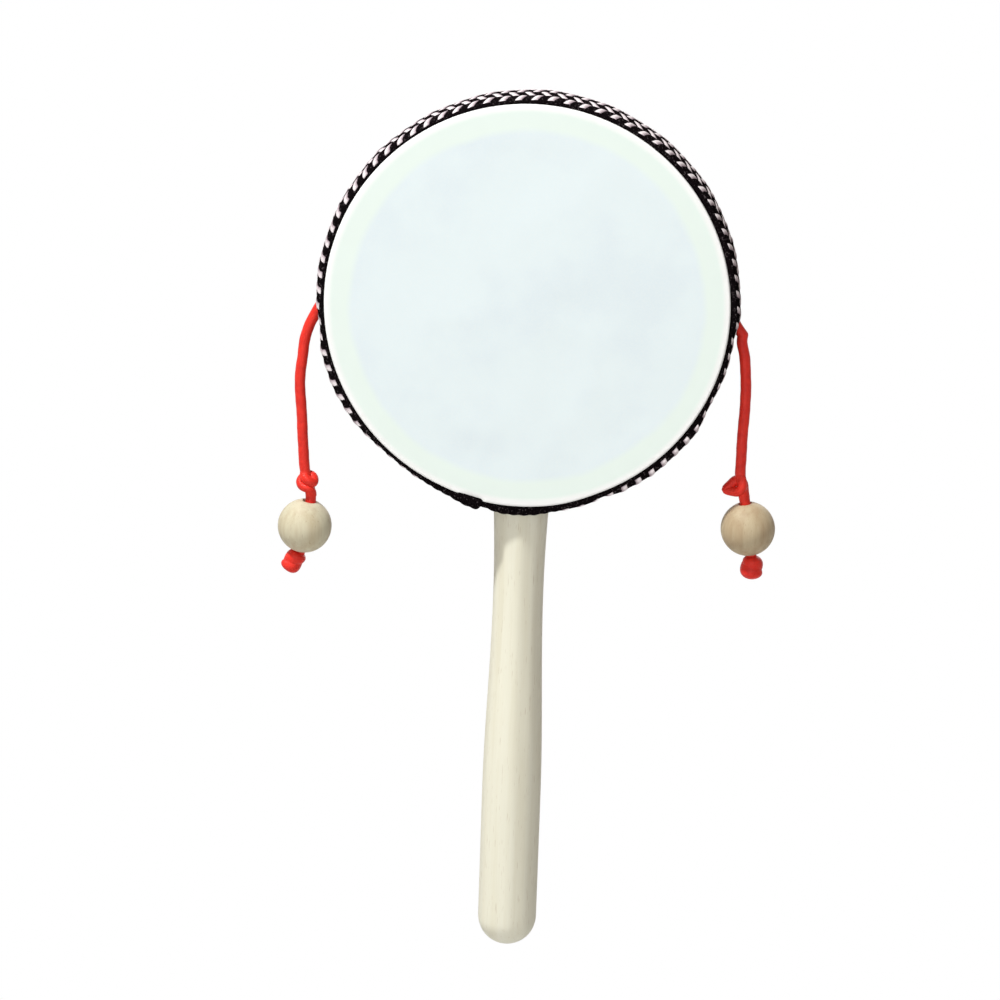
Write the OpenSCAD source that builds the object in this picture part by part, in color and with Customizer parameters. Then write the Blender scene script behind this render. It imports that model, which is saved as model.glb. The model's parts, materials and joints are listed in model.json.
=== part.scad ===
// Pellet drum rattle: a two-headed drum on a stick, with a bead on a cord at each side.
// The stick runs along Z, the heads face -Y and +Y, and the origin is the middle of the grip.

/* [Handle] */
// Diameter of the grip
grip_d = 15.4; // [12:0.1:20]
// Length of the straight grip
grip_len = 34; // [20:1:60]
// Diameter of the waist
waist_d = 12.9; // [10:0.1:15]
// Length of the taper from the grip to the waist
taper_len = 55; // [30:1:80]
// Diameter of the flared top
flare_d = 14.2; // [13:0.1:18]
// Length of the flare from the waist to the drum
flare_len = 23.5; // [15:0.5:40]
// Diameter of the spindle through the drum
spindle_d = 8; // [6:0.1:10]
// Depth of the spindle's socket in the far side of the hoop
socket_depth = 2; // [1:0.1:3]
// Rounding of the handle's small edges
handle_edge = 0.4; // [0.2:0.1:0.8]

/* [Drum] */
// Diameter of the drum over the braid
drum_d = 105.6; // [90:0.2:130]
// Depth of the drum over both heads
drum_depth = 20; // [18:0.5:30]
// Wall of the wooden hoop
hoop_wall = 6.3; // [5:0.1:9]
// Rounding of the hoop's inner edges
hoop_edge = 0.8; // [0.4:0.1:1.5]
// Thickness of each skin
skin_t = 0.5; // [0.3:0.1:1]
// Width of skin folded down over the hoop
skirt_w = 6; // [4:0.5:6.5]
// Rounding of the skin over the edge of the hoop
skin_edge = 2.5; // [1.5:0.1:3.5]

/* [Braid] */
// Thickness of the braid at its crown
braid_t = 1.9; // [1.4:0.1:3]
// Thickness of the braid at its two edges
braid_edge_t = 1.2; // [0.8:0.1:1.4]
// Distance from each head's face back to the braid
braid_setback = 0.6; // [0.3:0.1:1.5]
// Gap between the ends of the braid
seam_gap = 0.4; // [0.2:0.1:1]
// Angle of the seam from the handle
seam_angle = 11; // [9:1:40]

/* [Nail] */
// Diameter of the nail
nail_d = 1.6; // [1.2:0.1:2]
// Length of the nail under its head
nail_len = 14; // [10:1:20]
// Diameter of the nail's head
nail_head_d = 3.6; // [3:0.1:5]
// Thickness of the nail's head
nail_head_t = 0.8; // [0.5:0.1:1]

/* [Cords and beads] */
// Diameter of the cord
cord_d = 2.7; // [2:0.1:3.2]
// Diameter of each bead
bead_d = 14; // [10:0.5:18]
// Diameter of each knot
knot_d = 5.9; // [5:0.1:7]
// Length of each knot along the cord
knot_len = 6; // [5:0.1:7]
// Bare cord between the upper knot and the bead
neck_len = 1.4; // [0.8:0.1:3]
// Height of the cord holes below the drum's centre
exit_drop = 4.6; // [2:0.1:12]
// Height of each cord's swing point below its hole
swing_drop = 1.8; // [0.5:0.1:3]
// Lean of each bead's axis from upright
bead_lean = 9.5; // [0:0.5:15]

/* [Fits] */
// Gap between fixed pieces
fit_gap = 0.05; // [0.02:0.01:0.1]
// Gap between the links of a cord and round them
link_gap = 0.35; // [0.3:0.05:0.6]
// Gap between each swinging cord and the braid
swing_gap = 0.6; // [0.4:0.05:1]
// Gap round the cord in its hole and in its bead
bore_gap = 0.3; // [0.2:0.05:0.4]

/* [Hidden] */
$fn = 64;
wood = "#edecd7";
skin = "#e5f0f1";
black = "#1d1b1e";
red = "#d0382d";
bead_wood = "#d5cfaf";
steel = "#b9bbbf";

// How far every cut runs past the piece it cuts
overrun = 1;

// Handle
grip_r = grip_d / 2;
waist_r = waist_d / 2;
flare_r = flare_d / 2;
spindle_r = spindle_d / 2;
grip_top = grip_len / 2;
waist_z = grip_top + taper_len;
shoulder_z = waist_z + flare_len;

// Drum, from the braid inwards
drum_r = drum_d / 2;
drum_z = shoulder_z + fit_gap + drum_r;
braid_r = drum_r - braid_t;
skin_r = braid_r - fit_gap;
hoop_r = skin_r - skin_t - fit_gap;
hoop_in_r = hoop_r - hoop_wall;
half_depth = drum_depth / 2;
hoop_half = half_depth - skin_t;
braid_half = half_depth - braid_setback;
front = 1;
back = -1;
spindle_top = drum_z + hoop_in_r + socket_depth - fit_gap;
nail_top = drum_z + hoop_r;
nail_tip = nail_top - nail_head_t - nail_len;

// Cords: the swing point of each is just outside the rim
cord_r = cord_d / 2;
bead_r = bead_d / 2;
knot_r = knot_d / 2;
hole_r = cord_r + bore_gap;
hole_z = drum_z - exit_drop;
pivot_z = hole_z - swing_drop;
pivot_x = sqrt(pow(drum_r + cord_r + swing_gap, 2) - pow(exit_drop + swing_drop, 2));
exit_x = sqrt(pow(drum_r, 2) - pow(exit_drop, 2));
left = -1;
right = 1;
tube_sides = 8;
dome_rings = 3;
knot_turn_tilt = 32;
knot_end_share = 0.62;
knot_swell_share = 0.28;
knot_strand_share = 0.42;
knot_end_r = knot_r * knot_end_share;
knot_seat_x = sqrt(pow(hoop_in_r, 2) - pow(exit_drop + knot_end_r, 2)) - fit_gap;

// Routes in pairs of outwards and down from the swing point. The last point of an upper
// route is where the cord bends, and the last point of a lower route is its knot.
left_upper_route = [[0.8, 1.6], [1.4, 3.2], [2.2, 6.2], [2.6, 10], [3.1, 14.1]];
left_lower_route = [[3.2, 15.8], [3.2, 18], [2.9, 22], [2.5, 27], [2.3, 31], [2, 35], [1.4, 40.8]];
right_upper_route = [[-0.1, 1.8], [0.5, 4.4], [1, 7.6], [1.3, 11], [1.5, 14.5]];
right_lower_route = [[1.5, 16.2], [1.5, 19], [1.3, 24], [1.2, 29], [1.2, 33], [1.2, 36.2]];
left_knot_lean = -14;
right_knot_lean = 12;

// Points of an arc from angle a to angle b
function arc(c, r, a, b, steps) = [
    for (i = [0:steps]) let (t = a + (b - a) * i / steps) [c[0] + r * cos(t), c[1] + r * sin(t)]
];

// Smooth change of radius along the handle, level at both ends
function taper(z0, r0, z1, r1, steps) = [
    for (i = [0:steps]) let (t = i / steps) [r0 + (r1 - r0) * (1 - cos(180 * t)) / 2, z0 + (z1 - z0) * t]
];

// Flare that starts level and opens like a trumpet
function flare(z0, r0, z1, r1, steps) = [
    for (i = [1:steps]) let (t = i / steps) [r0 + (r1 - r0) * t * t, z0 + (z1 - z0) * t]
];

// Places on a cord, from pairs of outwards and down
function place(side, p) = [side * (pivot_x + p[0]), 0, pivot_z - p[1]];
function places(side, route) = [for (p = route) place(side, p)];
function downward(side, lean) = [side * sin(lean), 0, -cos(lean)];
function last(list) = list[len(list) - 1];

// The string of pieces below each cord: knot, bare neck, bead, knot
function neck_place(side, route, lean) = place(side, last(route)) + knot_len * downward(side, lean);
function bead_place(side, route, lean) =
    neck_place(side, route, lean) + (neck_len + bead_r) * downward(side, bead_lean);

// Swept tube: the direction of each ring is that from the point before to the point after
function direction(p, i) =
    let (v = p[min(i + 1, len(p) - 1)] - p[max(i - 1, 0)]) v / norm(v);
function ring(p, i, r) = [
    for (k = [0:tube_sides - 1])
        let (a = 360 * k / tube_sides)
            p[i] + r * (cos(a) * cross(direction(p, i), [0, 1, 0]) + sin(a) * [0, 1, 0])
];

module tube(p, radii) {
    n = len(p);
    m = tube_sides;
    points = [for (i = [0:n - 1]) each ring(p, i, radii[i])];
    sides = [
        for (i = [0:n - 2]) for (k = [0:m - 1])
            let (a = i * m + k, b = i * m + (k + 1) % m)
                each [[a, b, b + m], [a, b + m, a + m]]
    ];
    caps = [[for (k = [0:m - 1]) m - 1 - k], [for (k = [0:m - 1]) (n - 1) * m + k]];
    polyhedron(points, concat(sides, caps));
}

// Tube that ends in a round dome centred on its last point
module domed_tube(p) {
    heading = direction(p, len(p) - 1);
    turns = [for (j = [1:dome_rings]) 90 * j / (dome_rings + 1)];
    dome = [for (a = turns) last(p) + cord_r * sin(a) * heading];
    tube(concat(p, dome), concat([for (q = p) cord_r], [for (a = turns) cord_r * cos(a)]));
}

module plain_tube(p) tube(p, [for (q = p) cord_r]);

// Stands a piece made along -Z at a place on a cord, leaning outwards
module hang(at, side, lean) translate(at) rotate([0, -side * lean, 0]) children();

// Lays a piece made along Z on the drum's axis, with its top at the front or at the back
module on_drum(facing) translate([0, 0, drum_z]) rotate([facing * 90, 0, 0]) children();

module along_hole(side, from, to, r) {
    translate([side * from, 0, hole_z]) rotate([0, side * 90, 0]) cylinder(h = to - from, r = r);
}

module handle_profile() polygon(concat(
    arc([0, -grip_top], grip_r, -90, 0, 16),
    taper(grip_top, grip_r, waist_z, waist_r, 20),
    flare(waist_z, waist_r, shoulder_z - handle_edge, flare_r, 10),
    [
        [flare_r - handle_edge, shoulder_z],
        [spindle_r, shoulder_z],
        [spindle_r, spindle_top - handle_edge],
        [spindle_r - handle_edge, spindle_top],
        [0, spindle_top]
    ]
));

module handle() color(wood) difference() {
    rotate_extrude() handle_profile();
    translate([0, 0, nail_tip - fit_gap]) cylinder(h = nail_len, r = nail_d / 2 + fit_gap);
}

// Ring with its outer edges rounded under the skins
module hoop_profile() {
    outer = skin_edge - skin_t;
    polygon(concat(
        arc([hoop_r - outer, hoop_half - outer], outer, 0, 90, 8),
        arc([hoop_in_r + hoop_edge, hoop_half - hoop_edge], hoop_edge, 90, 180, 4),
        arc([hoop_in_r + hoop_edge, hoop_edge - hoop_half], hoop_edge, 180, 270, 4),
        arc([hoop_r - outer, outer - hoop_half], outer, 270, 360, 8)
    ));
}

module hoop() color(wood) difference() {
    on_drum(front) rotate_extrude() hoop_profile();
    translate([0, 0, drum_z - hoop_r - overrun])
        cylinder(h = hoop_wall + 2 * overrun, r = spindle_r + fit_gap);
    translate([0, 0, drum_z]) cylinder(h = hoop_in_r + socket_depth, r = spindle_r + fit_gap);
    translate([0, 0, drum_z]) cylinder(h = hoop_r + overrun, r = nail_d / 2 + fit_gap);
    translate([0, 0, nail_top - nail_head_t])
        cylinder(h = nail_head_t + overrun, r = nail_head_d / 2 + fit_gap);
    for (side = [left, right])
        along_hole(side, hoop_in_r - overrun, hoop_r + overrun, hole_r);
}

// Skin: a flat face over the drum, and an edge rounded over the hoop and folded down its side
module head_face() color(skin)
    translate([0, 0, hoop_half]) cylinder(h = skin_t, r = skin_r - skin_edge - fit_gap);

module head_edge() {
    c = [skin_r - skin_edge, half_depth - skin_edge];
    color(skin) rotate_extrude() polygon(concat(
        arc(c, skin_edge, 90, 0, 8),
        [[skin_r, half_depth - skirt_w], [skin_r - skin_t, half_depth - skirt_w]],
        arc(c, skin_edge - skin_t, 0, 90, 8)
    ));
}

// Band with a soft crown across its width
module braid_profile() {
    crown = braid_t - braid_edge_t;
    lip = braid_edge_t / 2;
    steps = 12;
    polygon(concat(
        [[braid_r, lip - braid_half]],
        arc([braid_r + lip, lip - braid_half], lip, 180, 300, 6),
        [for (i = [0:steps])
            let (t = 2 * i / steps - 1)
                [braid_r + braid_edge_t + crown * (1 - pow(t, 4)), t * (braid_half - lip)]],
        arc([braid_r + lip, braid_half - lip], lip, 60, 180, 6)
    ));
}

module rim_braid() color(black) difference() {
    on_drum(front) rotate_extrude() braid_profile();
    translate([0, 0, shoulder_z - overrun]) cylinder(h = drum_r, r = spindle_r + fit_gap);
    for (side = [left, right])
        along_hole(side, hoop_in_r, drum_r + overrun, hole_r);
    translate([0, 0, drum_z])
        rotate([0, seam_angle, 0])
            translate([-seam_gap / 2, -half_depth, -drum_r - overrun])
                cube([seam_gap, drum_depth, braid_t + 2 * overrun]);
}

module handle_nail() color(steel) union() {
    translate([0, 0, nail_top - nail_head_t]) cylinder(h = nail_head_t, r = nail_head_d / 2);
    translate([0, 0, nail_tip]) cylinder(h = nail_len, r = nail_d / 2);
}

// Knot: a barrel along the cord with one turn of the cord pulled tight round it
module knot() {
    turn_r = knot_r * (1 - knot_strand_share);
    union() {
        rotate_extrude() polygon(concat(
            [[0, 0]],
            [for (i = [0:12])
                let (t = i / 12)
                    [knot_end_r + knot_r * knot_swell_share * sin(180 * t), -knot_len * t]],
            [[0, -knot_len]]
        ));
        translate([0, 0, -knot_len / 2])
            rotate([0, knot_turn_tilt, 0])
                rotate_extrude() translate([turn_r, 0]) circle(r = knot_r * knot_strand_share);
    }
}

// The cord through the hoop, and the knot inside whose lower edge seats on the curved wall
module stop_knot(side) color(red) union() {
    along_hole(side, knot_seat_x, exit_x, cord_r);
    translate([side * knot_seat_x, 0, hole_z]) rotate([0, side * 90, 0]) knot();
}

module cord_eye(side) color(red) translate([side * pivot_x, 0, pivot_z]) sphere(r = cord_r);

module cord_upper(side, route) color(red) domed_tube(places(side, route));

module cord_lower(side, route, lean) {
    into_knot = place(side, last(route)) + cord_r * downward(side, lean);
    color(red) plain_tube(concat(places(side, route), [into_knot]));
}

module upper_knot(side, route, lean) color(red) hang(place(side, last(route)), side, lean) knot();

module bead_cord(side, route, lean) color(red) hang(neck_place(side, route, lean), side, bead_lean)
    translate([0, 0, -neck_len - bead_d - link_gap - cord_r])
        cylinder(h = neck_len + bead_d + link_gap + 2 * cord_r, r = cord_r);

module bead(side, route, lean) color(bead_wood) hang(bead_place(side, route, lean), side, bead_lean)
    difference() {
        sphere(r = bead_r);
        translate([0, 0, -bead_r - overrun]) cylinder(h = bead_d + 2 * overrun, r = hole_r);
    }

module lower_knot(side, route, lean) color(red) hang(bead_place(side, route, lean), side, bead_lean)
    translate([0, 0, -bead_r - link_gap]) knot();

handle();
hoop();
on_drum(front) head_face();  // front_head
on_drum(front) head_edge();  // front_head_edge
on_drum(back) head_face();  // back_head
on_drum(back) head_edge();  // back_head_edge
rim_braid();
handle_nail();
stop_knot(left);  // left_stop_knot
cord_eye(left);  // left_cord_eye
cord_upper(left, left_upper_route);  // left_cord_upper
cord_lower(left, left_lower_route, left_knot_lean);  // left_cord_lower
upper_knot(left, left_lower_route, left_knot_lean);  // left_upper_knot
bead_cord(left, left_lower_route, left_knot_lean);  // left_bead_cord
bead(left, left_lower_route, left_knot_lean);  // left_bead
lower_knot(left, left_lower_route, left_knot_lean);  // left_lower_knot
stop_knot(right);  // right_stop_knot
cord_eye(right);  // right_cord_eye
cord_upper(right, right_upper_route);  // right_cord_upper
cord_lower(right, right_lower_route, right_knot_lean);  // right_cord_lower
upper_knot(right, right_lower_route, right_knot_lean);  // right_upper_knot
bead_cord(right, right_lower_route, right_knot_lean);  // right_bead_cord
bead(right, right_lower_route, right_knot_lean);  // right_bead
lower_knot(right, right_lower_route, right_knot_lean);  // right_lower_knot
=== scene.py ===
import json
import math
import bpy
import numpy as np
from mathutils import Matrix, Vector


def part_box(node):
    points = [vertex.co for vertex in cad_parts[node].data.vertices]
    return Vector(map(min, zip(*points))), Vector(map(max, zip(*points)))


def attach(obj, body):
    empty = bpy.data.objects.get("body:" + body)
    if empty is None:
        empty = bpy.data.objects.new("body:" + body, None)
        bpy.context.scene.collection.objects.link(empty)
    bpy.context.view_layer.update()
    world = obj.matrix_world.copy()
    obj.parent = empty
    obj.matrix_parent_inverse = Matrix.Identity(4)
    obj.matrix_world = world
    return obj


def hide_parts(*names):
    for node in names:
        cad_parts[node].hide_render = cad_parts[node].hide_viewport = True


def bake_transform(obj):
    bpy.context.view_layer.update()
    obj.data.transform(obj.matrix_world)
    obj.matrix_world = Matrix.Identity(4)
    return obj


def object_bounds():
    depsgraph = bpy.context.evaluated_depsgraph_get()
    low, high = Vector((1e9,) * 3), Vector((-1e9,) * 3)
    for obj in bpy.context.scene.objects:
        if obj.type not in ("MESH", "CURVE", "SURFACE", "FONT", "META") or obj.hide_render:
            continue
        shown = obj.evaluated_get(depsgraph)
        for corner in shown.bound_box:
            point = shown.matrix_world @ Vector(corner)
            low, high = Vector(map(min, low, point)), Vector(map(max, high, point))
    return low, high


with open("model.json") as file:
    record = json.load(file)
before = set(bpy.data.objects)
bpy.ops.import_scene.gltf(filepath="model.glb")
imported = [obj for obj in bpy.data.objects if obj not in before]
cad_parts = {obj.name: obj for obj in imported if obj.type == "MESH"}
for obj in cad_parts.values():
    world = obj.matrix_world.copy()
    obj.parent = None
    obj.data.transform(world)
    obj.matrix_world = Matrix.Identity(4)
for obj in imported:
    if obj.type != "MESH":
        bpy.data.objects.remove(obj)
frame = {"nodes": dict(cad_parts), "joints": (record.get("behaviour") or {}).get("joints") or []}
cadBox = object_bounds()
mm = 0.001  # shapes below are worked out in millimetres
joints = {j["name"]: j for j in frame["joints"]}
print("frame loaded:", len(frame["nodes"]), "nodes")


photoCamera = {
    "place": (34.28, -795.16, 297.82),  # mm, a little above the drum and to its right
    "aim": (-5.017, -10.0, 98.707),  # mm, the point in the middle of the picture
    "roll": 1.9,  # degrees
    "lens": 115.23,
    "sensor": 36.0,
    "clip": (0.05, 60.0),  # m
}


def makeCamera(spec):
    data = bpy.data.cameras.new("photoCamera")
    data.lens = spec["lens"]
    data.sensor_width = spec["sensor"]
    data.clip_start, data.clip_end = spec["clip"]
    place = Vector(spec["place"]) * mm
    look = (Vector(spec["aim"]) * mm - place).normalized()
    level = look.cross(Vector((0, 0, 1))).normalized()
    upright = level.cross(look)
    roll = math.radians(spec["roll"])
    right = level * math.cos(roll) + upright * math.sin(roll)
    up = upright * math.cos(roll) - level * math.sin(roll)
    camera = bpy.data.objects.new("photoCamera", data)
    camera.matrix_world = Matrix.Translation(place) @ Matrix((right, up, -look)).transposed().to_4x4()
    bpy.context.scene.collection.objects.link(camera)
    bpy.context.scene.camera = camera


makeCamera(photoCamera)
print("camera set")


def boxOf(node):
    low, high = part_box(node)
    return np.array(low) / mm, np.array(high) / mm


def jointPlace(name):
    return np.array(joints[name]["pos_m"], float) / mm


def jointAxis(name):
    return np.array(joints[name]["axis"], float)


def unit(v):
    return v / np.linalg.norm(v, axis=-1, keepdims=True)


def ease(x, low, high):
    # Smooth step from 0 at low to 1 at high
    t = np.clip((x - low) / (high - low), 0, 1)
    return t * t * (3 - 2 * t)


def between(x, a, b, c, d):
    # Rises from a to b and falls from c to d
    return ease(x, a, b) * (1 - ease(x, c, d))


def distanceAlong(path):
    return np.concatenate([[0], np.cumsum(np.linalg.norm(np.diff(path, axis=0), axis=1))])


def smoothPath(points, step, finePerPoint=60):
    # Natural cubic spline through the points, then even steps along its length
    p = np.asarray(points, float)
    u = distanceAlong(p)
    h = np.diff(u)
    n = len(p)
    i = np.arange(1, n - 1)
    stiff = np.eye(n)
    stiff[i, i - 1] = h[:-1]
    stiff[i, i] = 2 * (h[:-1] + h[1:])
    stiff[i, i + 1] = h[1:]
    pull = np.zeros_like(p)
    pull[1:-1] = 6 * np.diff(np.diff(p, axis=0) / h[:, None], axis=0)
    bend = np.linalg.solve(stiff, pull)
    fine = np.linspace(0, u[-1], finePerPoint * n)
    k = np.clip(np.searchsorted(u, fine, side="right") - 1, 0, n - 2)
    a = ((u[k + 1] - fine) / h[k])[:, None]
    b = 1 - a
    sag = ((a ** 3 - a) * bend[k] + (b ** 3 - b) * bend[k + 1]) * (h[k] ** 2)[:, None] / 6
    curve = a * p[k] + b * p[k + 1] + sag
    along = distanceAlong(curve)
    even = np.linspace(0, along[-1], max(4, int(round(along[-1] / step)) + 1))
    return np.stack([np.interp(even, along, curve[:, c]) for c in range(3)], 1)


def domed(path, radius, steps=5):
    # Adds rings to both ends that shrink as a ball does
    rise = np.sin(np.linspace(0, math.pi / 2, steps + 2)[1:-1])
    shrink = np.sqrt(1 - rise ** 2)
    head = path[0] + unit(path[0] - path[1]) * (radius[0] * rise[::-1])[:, None]
    tail = path[-1] + unit(path[-1] - path[-2]) * (radius[-1] * rise)[:, None]
    radii = np.concatenate([radius[0] * shrink[::-1], radius, radius[-1] * shrink])
    return np.vstack([head, path, tail]), radii


def tubeGrid(path, radius, sides, oval, ovalTurn):
    # A ring carried along the path, each ring's side direction leaned over from the one before
    ahead = unit(np.gradient(path, axis=0))
    side = np.empty_like(path)
    startSide = (0.13, 0.97, 0.21)  # no path here starts along it
    last = np.cross(ahead[0], startSide)
    for i in range(len(path)):
        last = unit(last - ahead[i] * (last @ ahead[i]))
        side[i] = last
    across = np.cross(ahead, side)
    turn = np.linspace(0, 2 * math.pi, sides, endpoint=False)
    swell = 1 + oval * np.cos(2 * turn - ovalTurn)
    ring = side[:, None] * np.cos(turn)[:, None] + across[:, None] * np.sin(turn)[:, None]
    return path[:, None] + ring * (radius[:, None] * swell)[..., None]


def turnedGrid(profile, sides):
    # Profile points of radius and height turned round Z
    turn = np.linspace(0, 2 * math.pi, sides, endpoint=False)
    r = profile[:, :1]
    height = np.broadcast_to(profile[:, 1:], (len(profile), sides))
    return np.stack([r * np.cos(turn), r * np.sin(turn), height], -1), turn


def addSurface(name, grid, along=None, around=None, loop=False):
    # Skins rings of points: each ring closes on itself, and the ends close in a point or on each other
    rows, cols = grid.shape[:2]
    along = np.arange(rows + 1.0) if along is None else along
    around = np.arange(cols + 1.0) if around is None else around
    rowStarts = np.arange(rows if loop else rows - 1)
    i, k = (a.ravel() for a in np.meshgrid(rowStarts, np.arange(cols), indexing="ij"))
    cornerRow = np.stack([i, i, i + 1, i + 1], 1)
    cornerCol = np.stack([k, k + 1, k + 1, k], 1)
    quads = (cornerRow % rows) * cols + cornerCol % cols
    quadUv = np.stack([along[cornerRow], around[cornerCol]], -1)
    points = grid.reshape(-1, 3)
    caps = np.zeros((0, 3), int)
    capUv = np.zeros((0, 3, 2))
    if not loop:
        k = np.arange(cols)
        nextK = (k + 1) % cols
        last = (rows - 1) * cols
        pole = np.full(cols, rows * cols)
        caps = np.vstack([np.stack([nextK, k, pole], 1), np.stack([last + k, last + nextK, pole + 1], 1)])
        points = np.vstack([points, grid[0].mean(0), grid[-1].mean(0)])
        middle = around[:-1] + np.diff(around) / 2
        ends = [np.stack([np.full((cols, 3), along[row]), np.stack([around[:-1], around[1:], middle], 1)], -1)
                for row in (0, rows - 1)]
        capUv = np.vstack([ends[0][:, [1, 0, 2]], ends[1]])
    a, b, c, d = (points[quads[:, j]] for j in range(4))
    volume = np.einsum("ij,ij->", a, np.cross(b, c) + np.cross(c, d))
    if len(caps):
        a, b, c = (points[caps[:, j]] for j in range(3))
        volume += np.einsum("ij,ij->", a, np.cross(b, c))
    if volume < 0:  # turned so that the faces point outwards
        quads, quadUv, caps, capUv = quads[:, ::-1], quadUv[:, ::-1], caps[:, ::-1], capUv[:, ::-1]
    mesh = bpy.data.meshes.new(name)
    mesh.from_pydata((points * mm).tolist(), [], quads.tolist() + caps.tolist())
    layer = mesh.uv_layers.new(name="lay")
    layer.data.foreach_set("uv", np.concatenate([quadUv.ravel(), capUv.ravel()]))
    mesh.shade_smooth()
    piece = bpy.data.objects.new(name, mesh)
    bpy.context.scene.collection.objects.link(piece)
    return piece


def placed(grid, centre, down, outwards):
    # Stands a shape made along -Z at a place, with its X towards outwards and its -Y to the front
    down = unit(np.asarray(down, float))
    right = unit(np.asarray(outwards, float) - down * (down @ outwards))
    back = np.cross(right, down)
    back = back if back[1] > 0 else -back
    return centre + grid[..., :1] * right + grid[..., 1:2] * back - grid[..., 2:] * down


rightwards = np.array((1.0, 0, 0))


# Cords: satin cord from a hole in the rim down to its bead, with the same route as the solids
cordSpec = {
    "diameter": 2.7,
    "sides": 24,
    "step": 0.3,
    "oval": (0.03, 0.6),  # share that it is out of round, and which way
    "waves": ((0.012, 1.9, 0.0), (0.009, 0.83, 1.0)),  # uneven thickness: share, pace along it and start
    "routes": {  # outwards and down from the swing point, mm
        "left": {
            "upper": [(0.8, 1.6), (1.4, 3.2), (2.2, 6.2), (2.6, 10), (3.1, 14.1)],
            "lower": [(3.2, 15.8), (3.2, 18), (2.9, 22), (2.5, 27), (2.3, 31), (2, 35), (1.4, 40.8)],
        },
        "right": {
            "upper": [(-0.1, 1.8), (0.5, 4.4), (1, 7.6), (1.3, 11), (1.5, 14.5)],
            "lower": [(1.5, 16.2), (1.5, 19), (1.3, 24), (1.2, 29), (1.2, 33), (1.2, 36.2)],
        },
    },
    "neck": 1.4,  # bare cord between the upper knot and the bead
    "knotLength": 6.0,
    "endInKnot": 0.3,  # share of the lower knot that the cord reaches into
    "lowerKnotDrop": 0.88,  # share of the lower knot's half length from the bead's gap to its middle
    "beadGap": 0.35,
    "wrapReach": 5.0,  # how far each way the cord bends about its lower hinge
    "root": (3.4, 5.6),  # the cord's root starts this far in and up from the swing point, under the braid
    "rootArch": {"left": 0.2, "right": -0.3},  # mm, how far the root bows outwards
}
sides = {"left": -1, "right": 1}
cordRadius = cordSpec["diameter"] / 2


def cordPlaces(name):
    # Everything along one cord, from the swing point to the knot under the bead
    side = sides[name]
    pivot = jointPlace(name + "_lift")
    beadCentre = jointPlace(name + "_bead_spin")
    down = jointAxis(name + "_bead_spin")
    low, high = boxOf(name + "_bead")
    beadRadius = (high - low)[1] / 2
    route = [pivot + np.array((side * out, 0, -drop)) for part in ("upper", "lower")
             for out, drop in cordSpec["routes"][name][part]]
    neck = beadCentre - down * (beadRadius + cordSpec["neck"])
    lowerTop = beadCentre + down * (beadRadius + cordSpec["beadGap"])
    return {
        "side": side,
        "pivot": pivot,
        "route": route,
        "bend": jointPlace(name + "_wrap"),
        "knotTop": route[-1],
        "neck": neck,
        "bead": beadCentre,
        "beadRadius": beadRadius,
        "down": down,
        "lowerTop": lowerTop,
        "end": lowerTop + down * cordSpec["knotLength"] * cordSpec["endInKnot"],
    }


def cordTube(pieceName, path, waves=()):
    # A ring carried along the path, domed at both ends, its thickness uneven by the sine waves
    core, radii = domed(path, np.full(len(path), cordRadius))
    along = distanceAlong(core)
    radii = radii * (1 + sum(share * np.sin(along * pace + start) for share, pace, start in waves))
    grid = tubeGrid(core, radii, cordSpec["sides"], *cordSpec["oval"])
    around = np.linspace(0, 2 * math.pi * cordRadius, cordSpec["sides"] + 1)
    return addSurface(pieceName, grid, along, around)


def mainCord(name, at):
    # Round cord from the swing point through both knots and the bead
    points = [at["pivot"]] + at["route"] + [at["neck"], at["bead"], at["lowerTop"], at["end"]]
    path = smoothPath(points, cordSpec["step"])
    piece = cordTube(name + "Cord", path, cordSpec["waves"])
    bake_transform(piece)
    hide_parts(name + "_cord_upper", name + "_cord_lower", name + "_bead_cord")
    return piece, path, distanceAlong(path)[-1]


def cordStub(name, at):
    # The cord's root: out from under the braid and down to the swing point
    inwards, up = cordSpec["root"]
    start = at["pivot"] + np.array((-at["side"] * inwards, 0, up))
    middle = at["pivot"] + np.array((-at["side"] * (inwards / 2 - cordSpec["rootArch"][name]), 0, up / 2))
    path = smoothPath([start, middle, at["pivot"]], cordSpec["step"])
    piece = cordTube(name + "CordRoot", path)
    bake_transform(piece)
    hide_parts(name + "_cord_eye")
    return piece


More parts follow.
